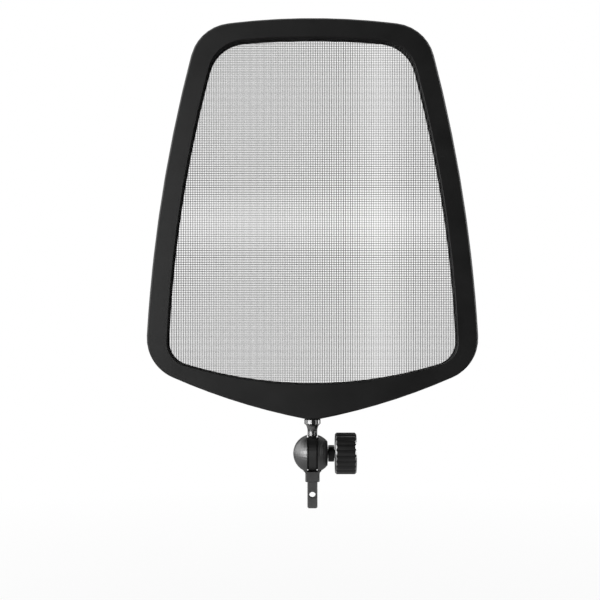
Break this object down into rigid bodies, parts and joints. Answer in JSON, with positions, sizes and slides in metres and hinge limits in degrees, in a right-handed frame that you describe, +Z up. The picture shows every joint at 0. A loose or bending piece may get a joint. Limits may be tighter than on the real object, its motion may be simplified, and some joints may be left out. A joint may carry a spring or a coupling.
{
  "type": "microphone pop filter",
  "caption": "Framed double-mesh pop filter on a short stem, held by a slotted ball clamp with a ribbed thumb knob.",
  "frame": {"origin": "centre of the tenon's flat lower end", "axes": "+Z up along the tenon and the stem, -Y the front that faces the voice, +X towards the thumb knob"},
  "size_m": [0.1112, 0.014, 0.1649],
  "materials": {
    "frame_black": "satin black powder coat on a cast frame",
    "screen_wire": "fine square-woven light grey wire",
    "spacer_black": "matte black moulding",
    "screw_black": "blackened",
    "stem_grey": "satin turned dark nickel",
    "washer_nylon": "matte",
    "clamp_grey": "satin dark nickel",
    "brass": "turned",
    "steel": "bright zinc",
    "knob_black": "black anodised with bright cut edges"
  },
  "bodies": {
    "clamp": {"clamp_ball": "clamp_grey", "thread_insert": "brass"},
    "filter": {"front_frame": "frame_black", "rear_frame": "frame_black", "front_mesh": "screen_wire", "rear_mesh": "screen_wire", "mesh_spacer": "spacer_black", "frame_screw_01": "screw_black", "frame_screw_02": "screw_black", "frame_screw_03": "screw_black", "frame_screw_04": "screw_black", "frame_screw_05": "screw_black", "frame_screw_06": "screw_black", "frame_screw_07": "screw_black", "frame_screw_08": "screw_black", "frame_screw_09": "screw_black", "frame_screw_10": "screw_black", "stem": "stem_grey", "stem_set_screw": "screw_black", "friction_washer_left": "washer_nylon", "friction_washer_right": "washer_nylon"},
    "knob_slider": {"thrust_washer": "steel"},
    "thumb_knob": {"clamp_screw": "steel", "knob_collar": "clamp_grey", "knob": "knob_black", "knob_end_cap": "knob_black", "knob_set_screw": "screw_black"}
  },
  "joints": [
    {"name": "filter_tilt", "type": "hinge", "parent": "clamp", "child": "filter", "pos_m": [0, 0, 0.0184], "axis": [1, 0, 0], "range_deg": [-15, 110]},
    {"name": "knob_travel", "type": "slide", "parent": "clamp", "child": "knob_slider", "axis": [1, 0, 0], "range_m": [0, 0.00075]},
    {"name": "knob_turn", "type": "hinge", "parent": "knob_slider", "child": "thumb_knob", "pos_m": [0.011, 0, 0.0184], "axis": [1, 0, 0], "range_deg": [0, 540]}
  ],
  "couplings": [
    {"joint": "knob_turn", "follows": "knob_travel", "rad_per_m": 12566}
  ]
}
